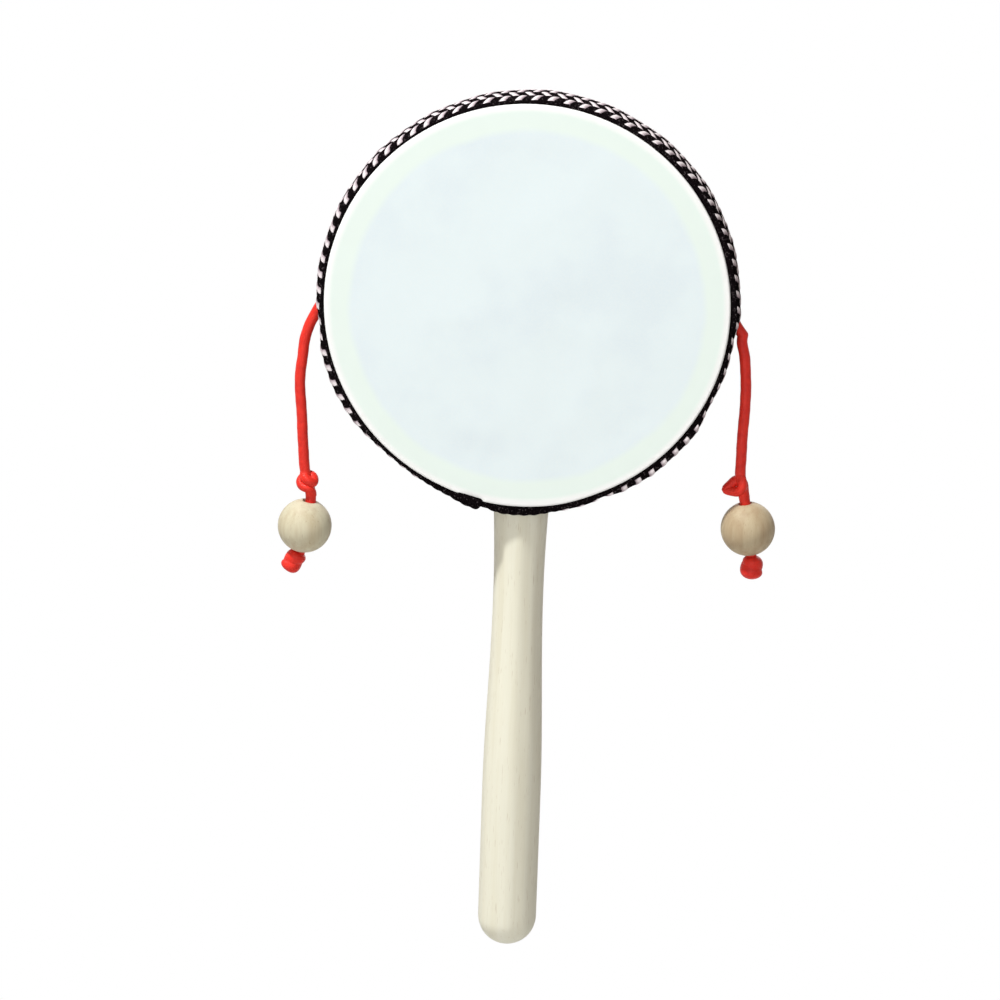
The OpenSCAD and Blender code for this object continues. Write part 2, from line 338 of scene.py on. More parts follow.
# Knots: the upper ones are a strand worked round the cord, the lower ones a barrel of tight turns
knotSpec = {
    "strand": 1.28,
    "sides": 18,
    "step": 0.22,
    "oval": (0.05, 1.1),
    "barrelRows": 45,
    "barrelSides": 64,
    "barrelRound": 0.45,  # power of the barrel's outline
    "turnRound": 0.8,  # power of the arch across one turn of cord
    "left": {  # right, back and up, mm
        "strand": [(-0.2, 0, 2.9), (-0.3, -0.7, 1.9), (0.6, -1.1, 0.7), (1.4, -0.4, 0.1), (1.6, 0.5, 1.2),
                   (0.6, 0.9, 2.0), (-0.9, 0.7, 1.7), (-1.75, 0.0, 0.7), (-1.1, -0.8, -0.5),
                   (0.1, -0.9, -1.2), (0.4, -0.3, -2.2), (0.3, 0, -3.0)],
        "tip": 1.0,  # share of the strand's thickness where it reaches farthest
        "barrel": {"radius": 2.65, "half": 3.1, "lean": -35, "hand": -1, "turns": 1.5, "start": 5.0,
                   "groove": 0.16, "pear": 0.02, "ends": 4.5},
    },
    "right": {
        "strand": [(0.0, 0, 2.8), (0.1, -0.6, 1.6), (0.0, -1.0, 0.2), (-0.9, -0.9, -1.0), (-2.7, -0.4, -0.9),
                   (-4.3, 0.0, -0.3), (-2.8, 0.5, 0.7), (-1.0, 0.8, 1.5), (0.1, 0.9, 0.8), (0.3, 0.6, -0.6),
                   (0.2, 0.1, -1.9), (0.2, 0, -3.0)],
        "tip": 0.8,
        "barrel": {"radius": 3.05, "half": 3.2, "lean": 6, "hand": 1, "turns": 1.3, "start": 1.2,
                   "groove": 0.18, "pear": 0.07, "ends": 2.6},
    },
}


def strandKnot(spec):
    # A strand along a smooth path through the knot's points, thinner where it pulls to a tip
    path = smoothPath(spec["strand"], knotSpec["step"])
    far = np.abs(path[:, 0]) / np.abs(path[:, 0]).max()
    core, radii = domed(path, knotSpec["strand"] * (1 - (1 - spec["tip"]) * far ** 3))
    around = np.linspace(0, 2 * math.pi * knotSpec["strand"], knotSpec["sides"] + 1)
    return tubeGrid(core, radii, knotSpec["sides"], *knotSpec["oval"]), distanceAlong(core), around


def barrelKnot(spec):
    # Superellipse in outline, with a groove wound round it where the turns of cord meet
    t = np.linspace(-1, 1, knotSpec["barrelRows"] + 2)[1:-1, None]
    turn = np.linspace(0, 2 * math.pi, knotSpec["barrelSides"], endpoint=False)[None, :]
    outline = (1 - np.abs(t) ** spec["ends"]) ** knotSpec["barrelRound"] * (1 - spec["pear"] * t)
    groovePlace = spec["hand"] * turn + math.pi * spec["turns"] * t + spec["start"]
    arch = np.abs(np.sin(groovePlace / 2)) ** knotSpec["turnRound"]
    r = spec["radius"] * outline * (1 - spec["groove"] + spec["groove"] * arch)
    height = np.broadcast_to(spec["half"] * t, r.shape)
    grid = np.stack([r * np.cos(turn), r * np.sin(turn), height], -1)
    around = np.linspace(0, 2 * math.pi * spec["radius"], knotSpec["barrelSides"] + 1)
    return grid, spec["half"] * t[:, 0], around


def addKnot(pieceName, shape, centre, down, body, node):
    # Stands a knot's grid on its cord and hangs it on the cord's body
    grid, along, around = shape
    piece = addSurface(pieceName, placed(grid, centre, down, rightwards), along, around)
    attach(piece, body)
    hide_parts(node)
    return piece


cordPieces = []
for name in sides:
    at = cordPlaces(name)
    tied = knotSpec[name]
    cord, path, length = mainCord(name, at)
    root = cordStub(name, at)
    upper = addKnot(name + "UpperKnot", strandKnot(tied), (at["knotTop"] + at["neck"]) / 2,
                    at["neck"] - at["knotTop"], name + "_cord_lower", name + "_upper_knot")
    lean = math.radians(tied["barrel"]["lean"])
    lowerDown = np.array((math.sin(lean), 0, -math.cos(lean)))
    lowerCentre = at["lowerTop"] + lowerDown * tied["barrel"]["half"] * cordSpec["lowerKnotDrop"]
    lower = addKnot(name + "LowerKnot", barrelKnot(tied["barrel"]), lowerCentre, lowerDown,
                    name + "_cord_lower", name + "_lower_knot")
    cordPieces += [cord, root, upper, lower, frame["nodes"][name + "_stop_knot"]]
    print(name, "cord", round(length, 1), "mm")


# Handle: a turned stick that swells to the grip, with a spindle through the drum
handleSpec = {
    "gripTop": 17.0,
    "waistZ": 72.0,
    "waistRadius": 6.45,
    "flareRadius": 7.1,
    "spindleRadius": 4.0,
    "edge": 0.4,
    "fillet": (0.2, 0.1),  # out and up, where the spindle leaves the shoulder
    "fit": 0.05,  # left under the braid and under the nail's tip
    "nailHole": 0.85,
    "nailHoleEnd": 0.05,
    "sides": 144,
    "steps": {"tip": 22, "grip": 10, "taper": 40, "flare": 20, "edge": 5},
    "facetDepth": 0.035,  # long flats left by sanding
    "facets": ((1.0, 11, 0.5, 0.004), (0.7, 7, 2.1, -0.006)),  # share, count round it, start, twist in a mm
    "facetTop": (0.2, 3.0),  # mm from the shoulder and from the tip, over which the flats fade out
    "facetTip": (0.0, 6.0),
    "sharpAngle": 50,  # degrees
}


def handleProfile(spec):
    # Round tip, straight grip, cosine taper to the waist, parabolic flare, then the spindle
    low, high = boxOf("handle")
    grip = (high - low)[1] / 2
    shoulder = boxOf("rim_braid")[0][2] - spec["fit"]
    nailTip = boxOf("handle_nail")[0][2] - spec["fit"]
    edge = spec["edge"]
    steps = spec["steps"]
    waist, flareOut, spindle = spec["waistRadius"], spec["flareRadius"], spec["spindleRadius"]
    turn = np.linspace(-math.pi / 2, 0, steps["tip"])[1:]
    tip = np.stack([grip * np.cos(turn), grip * np.sin(turn) - spec["gripTop"]], 1)
    z = np.linspace(-spec["gripTop"], spec["gripTop"], steps["grip"] + 2)[1:-1]
    straight = np.stack([np.full(len(z), grip), z], 1)
    t = np.linspace(0, 1, steps["taper"])
    taper = np.stack([grip + (waist - grip) * (1 - np.cos(math.pi * t)) / 2,
                      spec["gripTop"] + (spec["waistZ"] - spec["gripTop"]) * t], 1)
    t = np.linspace(0, 1, steps["flare"])[1:]
    flare = np.stack([waist + (flareOut - waist) * t * t,
                      spec["waistZ"] + (shoulder - edge - spec["waistZ"]) * t], 1)
    turn = np.linspace(0, math.pi / 2, steps["edge"])[1:]
    rounding = np.stack([flareOut - edge * (1 - np.cos(turn)), shoulder - edge * (1 - np.sin(turn))], 1)
    filletOut, filletUp = spec["fillet"]
    inside = np.array([[spindle + filletOut, shoulder], [spindle, shoulder + filletUp],
                       [spindle, high[2] - edge], [spindle - edge, high[2]],
                       [spec["nailHole"], high[2]], [spec["nailHole"], nailTip],
                       [spec["nailHoleEnd"], nailTip]])
    return np.vstack([tip, straight, taper, flare, rounding, inside]), shoulder


def makeHandle(spec):
    # The profile turned round Z, with long flats as cosines round the stick
    profile, shoulder = handleProfile(spec)
    grid, turn = turnedGrid(profile, spec["sides"])
    z = profile[:, 1:]
    flats = sum(share * np.cos(count * turn + start + z * twist)
                for share, count, start, twist in spec["facets"])
    outside = ease(shoulder - z, *spec["facetTop"]) * ease(z - profile[0, 1], *spec["facetTip"])
    grid[..., :2] *= (1 - spec["facetDepth"] * outside * flats / np.maximum(profile[:, :1], 1))[..., None]
    piece = addSurface("handle", grid)
    piece.data.set_sharp_from_angle(angle=math.radians(spec["sharpAngle"]))
    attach(piece, "drum")
    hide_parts("handle")
    return piece


# Drum heads: thin skins, flat over the drum, rounded over the hoop's edge and folded down its side
headSpec = {
    "thickness": 0.5,
    "edgeRadius": 0.56,
    "skirt": 6.0,
    "sides": 200,
    "flatSteps": 32,
    "arcSteps": 10,
    "ripple": 0.05,
    "rippleOver": (0.02, 0.3, 0.75, 0.93),  # shares of the skin's radius
    "puckers": 37,
    "puckerShare": 0.5,
    "puckerOver": (0.8, 0.93, 0.93, 0.975),
    "stretchOver": (0.85, 1.0),  # where the skin follows the hoop's own shape
}
rimSpec = {
    "bulge": 0.4,  # mm, how far the hoop bulges at the handle
    "bulgeOver": (9, 24),  # degrees from the handle, over which that fades out
    "standOff": 0.6,  # mm, how far the ribbon stands off the hoop above the cords
    "standOffOver": (83.5, 88, 110, 160),
}
braidLow, braidHigh = boxOf("rim_braid")
drumZ = (braidLow + braidHigh)[2] / 2
drumRadius = (braidHigh - braidLow)[2] / 2


def fromHandle(angle):
    # Degrees round the rim from the handle, either way
    return np.degrees(np.abs((angle + math.pi / 2 + math.pi) % (2 * math.pi) - math.pi))


def outOfRound(angle):
    # The hoop's bulge at the handle, mm
    return rimSpec["bulge"] * (1 - ease(fromHandle(angle), *rimSpec["bulgeOver"]))


def rimSwell(angle):
    # How far the ribbon stands off, mm
    return rimSpec["standOff"] * between(fromHandle(angle), *rimSpec["standOffOver"])


def headProfile(spec, skinRadius, face):
    # Across the face, round the hoop's edge, down its side, and the same way back one thickness inside
    t = spec["thickness"]
    steps = spec["flatSteps"]
    outer = spec["edgeRadius"]
    inner = outer - t
    flat = skinRadius - outer
    outerFlat = np.stack([np.linspace(0, flat, steps + 2)[1:-1], np.full(steps, face)], 1)
    turn = np.linspace(math.pi / 2, 0, spec["arcSteps"])
    outerArc = np.stack([flat + outer * np.cos(turn), face - outer * (1 - np.sin(turn))], 1)
    innerArc = np.stack([flat + inner * np.cos(turn), face - outer + inner * np.sin(turn)], 1)[::-1]
    fold = np.array([[skinRadius, face - spec["skirt"]], [skinRadius - t, face - spec["skirt"]]])
    innerFlat = np.stack([outerFlat[::-1, 0], np.full(steps, face - t)], 1)
    return np.vstack([outerFlat, outerArc, fold, innerArc, innerFlat])


def makeHead(name, facing):
    # The profile turned round the drum's axis; three crossed waves and small puckers along the hoop dent it
    low, high = boxOf(name + "_head_edge")
    face = max(abs(low[1]), abs(high[1]))
    skinRadius = (high - low)[2] / 2
    profile = headProfile(headSpec, skinRadius, face)
    grid, turn = turnedGrid(profile, headSpec["sides"])
    r = profile[:, :1] / skinRadius
    wave = np.sin(3 * turn + 5 * r) + 0.8 * np.cos(2 * turn - 7 * r + facing) + 0.6 * np.sin(5 * turn + 9 * r)
    pucker = headSpec["puckerShare"] * np.cos(headSpec["puckers"] * turn + 2 * np.sin(3 * turn))
    pucker = pucker * between(r, *headSpec["puckerOver"])
    dip = headSpec["ripple"] * (wave * between(r, *headSpec["rippleOver"]) + pucker)
    height = grid[..., 2] - np.abs(dip)
    stretch = 1 + ease(r, *headSpec["stretchOver"]) * outOfRound(turn) / skinRadius
    drumGrid = np.stack([grid[..., 0] * stretch, -facing * height, drumZ + grid[..., 1] * stretch], -1)
    piece = addSurface(name + "Head", drumGrid)
    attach(piece, "drum")
    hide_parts(name + "_head", name + "_head_edge")
    return piece


# Braid: woven ribbon round the rim, rope-like black borders and rows of slanted white floats on black
braidSpec = {
    "repeats": 82,
    "perRepeat": 12,
    "faceSteps": 75,
    "backSteps": 5,
    "fit": 0.05,  # mm, left outside the skins' folded edges
    "rows": 4,
    "rowPower": 1.45,  # makes the two outer rows narrower than the two inner ones
    "crown": 1.9,
    "roundness": (2.0, 4.0),  # powers of the section's superellipse, across and up
    "border": 1.1,  # black, along the section from each edge
    "borderFade": 0.2,
    "slant": 0.34,  # of a repeat, across one row
    "white": 0.46,  # of a repeat
    "pillow": 0.24,
    "pillowRound": (0.6, 0.4),  # powers of a float's sine arches, along and across
    "rope": 0.09,
    "ropeLay": (2.0, 2.6),  # turns in a repeat, and mm across for one turn
    "woundLay": (1.5, -3.1),
    "seamAngle": 11.0,  # degrees left of the handle
    "seamLap": 0.5,
    "sidesSeen": 21,  # the hoop under it is not quite round
    "kink": 0.22,
    "kinkMiddle": 0.35,
    "kinkStart": 0.4,
    "plainRight": 5.0,  # repeats beside the seam that are wound over in black
    "plainLeft": 4.5,
    "plainFade": 0.3,
    "wound": 0.65,  # mm, how much thicker it is there
    "woundFade": (3.0, 2.0),  # repeats over which that ends, right and left of the seam
    "flank": (0.55, 0.9),  # shares of its half width, between which its flanks begin
    "thicken": (0.2, 1.2),  # mm up the section, between which added thickness comes in
    "swellUp": (0.001, 0.9),
    "bunch": (3.0, 11.0),  # mm from the covering end, between which its bunched part fades out
    "bunchOut": 0.7,
    "bunchUp": (0.3, 1.4),
    "bunchForward": 1.1,
    "lapOver": 0.9,
    "endRound": 1.4,  # mm, over which the covering end rounds off
    "endLeast": 0.04,
    "tuck": 0.25,  # share by which the covered end is pressed down
    "tuckLength": 3.0,
    "slumps": [  # repeats from where to where, then how far it stands out and rolls forward there, mm
        (7.6, 9.0, 14.5, 17.0, 1.0, 0.65),
        (48.0, 51.0, 63.5, 65.5, 0.0, 0.6),
        (65.9, 67.4, 71.5, 74.5, 1.0, 0.65),
    ],
    "sag": 0.8,  # mm, how far its front edge hangs before the handle's top
    "sagOver": (0.2, 1.5, 6.5, 8.5),  # repeats
    "sagEdge": (0.74, 0.95),  # shares of its half width
}


def braidSection(spec, half):
    # Superellipse over the face, then flat across the back; also its normals and distance along it
    turn = np.linspace(0, math.pi, spec["faceSteps"])
    backSteps = spec["backSteps"]
    across = -half * np.sign(np.cos(turn)) * np.abs(np.cos(turn)) ** (2 / spec["roundness"][0])
    up = spec["crown"] * np.sin(turn) ** (2 / spec["roundness"][1])
    face = np.stack([across, up], 1)
    back = np.stack([np.linspace(half, -half, backSteps + 2)[1:-1], np.zeros(backSteps)], 1)
    tangent = unit(np.gradient(face, axis=0))
    normal = np.vstack([np.stack([-tangent[:, 1], tangent[:, 0]], 1), np.zeros((backSteps, 2))])
    along = distanceAlong(face)
    reach = along[-1] / 2
    lay = np.concatenate([along - reach, reach + half - back[:, 0]])
    return np.vstack([face, back]), normal, lay, reach


def twisted(u, v, lay):
    # Cosine of turns along the braid and across it
    return np.cos(2 * math.pi * (lay[0] * u + v / lay[1]))


def weaveLift(spec, u, v, reach):
    # Slanted floats are sine arches along and across their rows; the borders and the winding are twisted
    rowsHalf = reach - spec["border"]
    away = np.abs(v)
    fromMiddle = np.clip(away / rowsHalf, 0, 1) ** spec["rowPower"]
    rowPlace = spec["rows"] / 2 * (1 + np.sign(v) * fromMiddle)
    row = np.clip(np.floor(rowPlace), 0, spec["rows"] - 1)
    across = rowPlace - row
    odd = row % 2
    place = (u + 0.5 * odd + (1 - 2 * odd) * spec["slant"] * (across - 0.5)) % 1
    share = np.clip(place / spec["white"], 0, 1)
    alongPower, acrossPower = spec["pillowRound"]
    puff = np.sin(math.pi * share) ** alongPower * np.sin(math.pi * across) ** acrossPower
    onRows = (away < rowsHalf) * (place < spec["white"])
    fade = spec["plainFade"]
    patterned = ease(u, spec["plainRight"] - fade, spec["plainRight"])
    patterned = patterned * ease(spec["repeats"] - u, spec["plainLeft"] - fade, spec["plainLeft"])
    onBorder = ease(away, rowsHalf - spec["borderFade"], rowsHalf + spec["borderFade"]) * (away <= reach)
    rope = onBorder * twisted(u, v, spec["ropeLay"])
    wound = (1 - patterned) * (away <= rowsHalf) * twisted(u, v, spec["woundLay"])
    return spec["pillow"] * puff * onRows * patterned + spec["rope"] * (rope + wound)


def makeBraid(spec):
    # The section is carried round the drum from one end at the seam to the other; it is thicker where it is
    # wound over, bunched at the covering end, and stands out or hangs where it is slack
    half = (braidHigh - braidLow)[1] / 2
    inner = boxOf("front_head_edge")[1][0] + spec["fit"]
    section, normal, lay, reach = braidSection(spec, half)
    across, up = section.T
    seam = math.radians(-90 - spec["seamAngle"])
    lap = spec["seamLap"] / drumRadius
    angle = np.linspace(seam, seam + 2 * math.pi + lap, spec["repeats"] * spec["perRepeat"] + 1)
    u = np.linspace(0, spec["repeats"], len(angle))[:, None]
    fromEnd = spec["repeats"] - u
    standOut = sum(out * between(u, *over) for *over, out, roll in spec["slumps"])
    v = lay + sum(roll * between(u, *over) for *over, out, roll in spec["slumps"])
    lift = weaveLift(spec, u, v, reach)
    repeatLength = 2 * math.pi * drumRadius / spec["repeats"]
    onFace = np.arange(len(section)) < spec["faceSteps"]
    flank = ease(np.abs(across) / half, *spec["flank"]) * onFace
    front = flank * (across < 0)
    frontEdge = ease(-across / half, *spec["sagEdge"]) * onFace
    thicken = ease(up, *spec["thicken"])
    bunch = 1 - ease(fromEnd * repeatLength, *spec["bunch"])
    tuck = 1 - ease(u * repeatLength, 0, spec["tuckLength"])
    shortOfFull = 1 - np.minimum(fromEnd * repeatLength / spec["endRound"], 1)
    endCap = np.sqrt(np.clip(1 - shortOfFull ** 2, spec["endLeast"], 1))
    corner = np.abs(np.sin(u * math.pi * spec["sidesSeen"] / spec["repeats"] + spec["kinkStart"]))
    woundRight, woundLeft = spec["woundFade"]
    wound = 1 - ease(u, spec["plainRight"] - woundRight, spec["plainRight"])
    wound = np.maximum(wound, 1 - ease(fromEnd, spec["plainLeft"] - woundLeft, spec["plainLeft"]))
    bunchUp = spec["bunchOut"] * ease(up, *spec["bunchUp"]) - spec["lapOver"] * (1 - up / spec["crown"])
    height = up * endCap * (1 - spec["tuck"] * tuck) + lift * normal[:, 1]
    height = height + spec["wound"] * wound * endCap * flank * thicken
    height = height + bunch * endCap * front * bunchUp
    height = height + spec["sag"] * between(u, *spec["sagOver"]) * frontEdge * thicken
    swell = spec["kink"] * (spec["kinkMiddle"] - corner) + rimSwell(angle)[:, None] + standOut
    r = inner + height + swell * ease(up, *spec["swellUp"]) + outOfRound(angle)[:, None]
    y = across + lift * normal[:, 0] - spec["bunchForward"] * bunch * endCap * front
    grid = np.stack([r * np.cos(angle)[:, None], y, drumZ + r * np.sin(angle)[:, None]], -1)
    piece = addSurface("rimBraid", grid, u[:, 0], np.append(lay, reach + 2 * half))
    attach(piece, "drum")
    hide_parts("rim_braid")
    return piece, reach - spec["border"]


# Beads: turned wooden balls with a bore for the cord
beadSpec = {
    "bore": 1.65,
    "rim": 0.45,
    "rimDrop": 0.9,  # share of the rim's rounding, down the bore
    "sides": 96,
    "steps": {"ball": 60, "rim": 6, "bore": 10},
    "uneven": 0.06,
    "unevenFrom": 3.0,  # mm from the bead's axis
}


def makeBead(name, at):
    # Ball profile from rim to rim and back up the bore, turned round the bead's axis; two waves dent it
    ball = at["beadRadius"]
    rim = beadSpec["rim"]
    steps = beadSpec["steps"]
    start = math.asin((beadSpec["bore"] + rim) / ball)
    polar = np.linspace(start, math.pi - start, steps["ball"])
    outer = np.stack([ball * np.sin(polar), ball * np.cos(polar)], 1)
    turn = np.linspace(0, math.pi / 2, steps["rim"])[1:]
    rimDrop = rim * (1 - np.cos(turn)) * beadSpec["rimDrop"]
    rimArc = np.stack([outer[0, 0] - rim * np.sin(turn), outer[0, 1] - rimDrop], 1)
    boreZ = np.linspace(rimArc[-1, 1], -rimArc[-1, 1], steps["bore"] + 2)[1:-1]
    bore = np.stack([np.full(steps["bore"], beadSpec["bore"]), boreZ], 1)
    profile = np.vstack([rimArc[::-1], outer, rimArc * (1, -1), bore[::-1]])
    grid, turn = turnedGrid(profile, beadSpec["sides"])
    tilt = np.arctan2(profile[:, 1:], profile[:, :1])
    uneven = np.sin(2 * turn + 1 + tilt) + 0.8 * np.cos(3 * turn - 2 * tilt + at["side"])
    onBall = profile[:, :1] > beadSpec["unevenFrom"]
    grid[..., :2] *= (1 - beadSpec["uneven"] / ball * (1 + uneven) / 2 * onBall)[..., None]
    piece = addSurface(name + "Bead", placed(grid, at["bead"], at["down"], rightwards), loop=True)
    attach(piece, name + "_bead")
    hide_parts(name + "_bead")
    return piece


handle = makeHandle(handleSpec)
heads = [makeHead("front", 1), makeHead("back", -1)]
braid, rowsHalf = makeBraid(braidSpec)
beads = [makeBead(name, cordPlaces(name)) for name in sides]
print("handle, heads, braid and beads made")


# Material tools: short ways to add, set and link nodes
def rgb(r, g, b):
    # Screen colour from 0 to 255 as linear light
    c = np.array((r, g, b)) / 255
    return tuple(np.where(c <= 0.04045, c / 12.92, ((c + 0.055) / 1.055) ** 2.4)) + (1.0,)


def add(tree, kind, **settings):
    n = tree.nodes.new(kind)
    for key, value in settings.items():
        setattr(n, key, value)
    return n


def put(tree, socket, value):
    if isinstance(value, bpy.types.NodeSocket):
        tree.links.new(value, socket)
    else:
        socket.default_value = value


def calc(tree, operation, *values, clamp=False):
    n = add(tree, "ShaderNodeMath", operation=operation, use_clamp=clamp)
    for socket, value in zip(n.inputs, values):
        put(tree, socket, value)
    return n.outputs[0]


def mix(tree, share, a, b):
    n = add(tree, "ShaderNodeMix", data_type="RGBA")
    put(tree, n.inputs[0], share)
    put(tree, n.inputs[6], a)
    put(tree, n.inputs[7], b)
    return n.outputs[2]


def noise(tree, vector, scale, detail=2.0, roughness=0.5):
    n = add(tree, "ShaderNodeTexNoise")
    put(tree, n.inputs["Vector"], vector)
    put(tree, n.inputs["Scale"], scale)
    n.inputs["Detail"].default_value = detail
    n.inputs["Roughness"].default_value = roughness
    return n.outputs["Fac"]


def stretched(tree, vector, scale, shift=(0, 0, 0)):
    n = add(tree, "ShaderNodeMapping")
    put(tree, n.inputs["Vector"], vector)
    n.inputs["Scale"].default_value = scale
    n.inputs["Location"].default_value = shift
    return n.outputs[0]


def span(tree, value, low, high, toLow=0.0, toHigh=1.0, smooth=True):
    n = add(tree, "ShaderNodeMapRange", interpolation_type="SMOOTHSTEP" if smooth else "LINEAR")
    for socket, v in zip(n.inputs, (value, low, high, toLow, toHigh)):
        put(tree, socket, v)
    return n.outputs[0]


def bump(tree, height, strength, distance):
    n = add(tree, "ShaderNodeBump")
    put(tree, n.inputs["Height"], height)
    n.inputs["Strength"].default_value = strength
    n.inputs["Distance"].default_value = distance * mm
    return n.outputs[0]


def newMaterial(name):
    material = bpy.data.materials.new(name)
    material.use_nodes = True
    tree = material.node_tree
    return material, tree, tree.nodes["Principled BSDF"]


def objectMm(tree, shift=(0, 0, 0)):
    # Object coordinates in millimetres
    source = add(tree, "ShaderNodeTexCoord").outputs["Object"]
    return stretched(tree, source, (1 / mm, 1 / mm, 1 / mm), shift)


def layUv(tree):
    # The piece's own UV map: along it, and across or round it
    n = add(tree, "ShaderNodeSeparateXYZ")
    tree.links.new(add(tree, "ShaderNodeUVMap", uv_map="lay").outputs[0], n.inputs[0])
    return n.outputs[0], n.outputs[1]


def groupWith(name, inputs, outputs):
    # An empty node group with its named sockets
    tree = bpy.data.node_groups.new(name, "ShaderNodeTree")
    for label, kind in inputs:
        tree.interface.new_socket(label, in_out="INPUT", socket_type="NodeSocket" + kind)
    for label, kind in outputs:
        tree.interface.new_socket(label, in_out="OUTPUT", socket_type="NodeSocket" + kind)
    return tree, add(tree, "NodeGroupInput").outputs, add(tree, "NodeGroupOutput").inputs


grainSpec = {
    "broad": (0.34, 0.34, 0.012),  # waves in a mm: across the grain twice, then along it
    "fibre": (2.6, 2.6, 0.05),
    "fine": (9.0, 9.0, 0.35),
    "dash": (3.4, 3.4, 0.28),
    "dashShift": (7, 3, 1),
    "poreFrom": (0.66, 0.76),
    "roughness": (0.5, 0.66),
    "bumpDepth": 0.15,  # mm
    "shine": 0.35,
}


def woodGrain(spec):
    # Lengthwise streaks, fine fibres and short pores along Z, in millimetres
    tree, given, out = groupWith("woodGrain", [("Place", "Vector"), ("Pale", "Color"), ("Streak", "Color"),
                                               ("Pore", "Color"), ("Streaks", "Float"), ("Pores", "Float")],
                                 [("Color", "Color"), ("Roughness", "Float"), ("Height", "Float")])
    broad = noise(tree, stretched(tree, given["Place"], spec["broad"]), 1.0, 4.0, 0.55)
    fibre = noise(tree, stretched(tree, given["Place"], spec["fibre"]), 1.0, 3.0, 0.6)
    fine = noise(tree, stretched(tree, given["Place"], spec["fine"]), 1.0, 2.0, 0.5)
    dash = noise(tree, stretched(tree, given["Place"], spec["dash"], spec["dashShift"]), 1.0, 1.0, 0.4)
    pore = span(tree, dash, *spec["poreFrom"])
    fibreShare = calc(tree, "MULTIPLY", fibre, 0.5)
    streak = calc(tree, "MULTIPLY_ADD", span(tree, broad, 0.35, 0.7), 0.65, fibreShare)
    streakShare = calc(tree, "MULTIPLY", streak, given["Streaks"], clamp=True)
    colour = mix(tree, streakShare, given["Pale"], given["Streak"])
    poreShare = calc(tree, "MULTIPLY", pore, given["Pores"], clamp=True)
    put(tree, out["Color"], mix(tree, poreShare, colour, given["Pore"]))
    put(tree, out["Roughness"], span(tree, fibre, 0.2, 0.8, *spec["roughness"]))
    height = calc(tree, "MULTIPLY_ADD", fine, 0.35, calc(tree, "MULTIPLY_ADD", fibre, 0.6, broad))
    put(tree, out["Height"], calc(tree, "SUBTRACT", height, calc(tree, "MULTIPLY", poreShare, 0.8)))
    return tree


def threadRows():
    # Rounded threads side by side: a height across them, and a twist of fibres along each
    tree, given, out = groupWith("threadRows", [("Across", "Float"), ("Along", "Float"), ("Twist", "Float")],
                                 [("Height", "Float"), ("Fibre", "Float")])
    wave = calc(tree, "SINE", calc(tree, "MULTIPLY", given["Across"], math.pi))
    put(tree, out["Height"], calc(tree, "ABSOLUTE", wave))
    lean = calc(tree, "MULTIPLY_ADD", given["Across"], given["Twist"], given["Along"])
    twist = calc(tree, "SINE", calc(tree, "MULTIPLY", lean, 2 * math.pi))
    put(tree, out["Fibre"], calc(tree, "MULTIPLY_ADD", twist, 0.5, 0.5))
    return tree


woodGroup = woodGrain(grainSpec)
threadGroup = threadRows()


def placeGroup(tree, group, **given):
    n = add(tree, "ShaderNodeGroup", node_tree=group)
    for label, value in given.items():
        put(tree, n.inputs[label], value)
    return n.outputs


woods = {
    "handleWood": {
        "pale": (239, 238, 220), "streak": (226, 222, 198), "pore": (186, 170, 138),
        "streaks": 0.75, "pores": 0.35, "bump": 0.12, "shift": (0, 0, 0),
    },
    "leftBeadWood": {
        "pale": (216, 212, 186), "streak": (192, 178, 146), "pore": (150, 122, 88),
        "streaks": 0.9, "pores": 0.4, "bump": 0.1, "shift": (31, 7, 0),
    },
    # darker than the left bead: partly its own wood tone, partly painted shade for the drum's shadow over it
    "rightBeadWood": {
        "pale": (196, 182, 150), "streak": (172, 148, 116), "pore": (140, 108, 80),
        "streaks": 0.9, "pores": 0.4, "bump": 0.1, "shift": (57, 19, 0),
    },
    "hoopWood": {
        "pale": (226, 214, 182), "streak": (200, 180, 140), "pore": (150, 124, 90),
        "streaks": 0.8, "pores": 0.5, "bump": 0.2, "shift": (11, 23, 0),
    },
}


def woodMaterial(name, spec):
    material, tree, shader = newMaterial(name)
    grain = placeGroup(tree, woodGroup, Place=objectMm(tree, spec["shift"]), Pale=rgb(*spec["pale"]),
                       Streak=rgb(*spec["streak"]), Pore=rgb(*spec["pore"]), Streaks=spec["streaks"],
                       Pores=spec["pores"])
    put(tree, shader.inputs["Base Color"], grain["Color"])
    put(tree, shader.inputs["Roughness"], grain["Roughness"])
    put(tree, shader.inputs["Normal"], bump(tree, grain["Height"], spec["bump"], grainSpec["bumpDepth"]))
    shader.inputs["Specular IOR Level"].default_value = grainSpec["shine"]
    return material


skinSpec = {
    "centre": (231, 244, 246),
    "ring": (235, 248, 241),
    # near-white painted highlight along the skin's edge
    "edge": (252, 254, 252),
    "mottle": (226, 239, 243),
    "fleck": (240, 246, 244),
    "ringFrom": (43.2, 45.6),  # mm from the drum's axis, where the hoop backs the skin
    "ringWander": 3.0,  # mm
    "edgeHighlightFrom": (48.6, 50.2),  # mm from the drum's axis
    "blotchScale": 0.045,
    "grainScale": 1.6,
    "roughness": (0.42, 0.56),
    "bump": (0.12, 0.1),  # strength and mm
    "shine": 0.3,
}


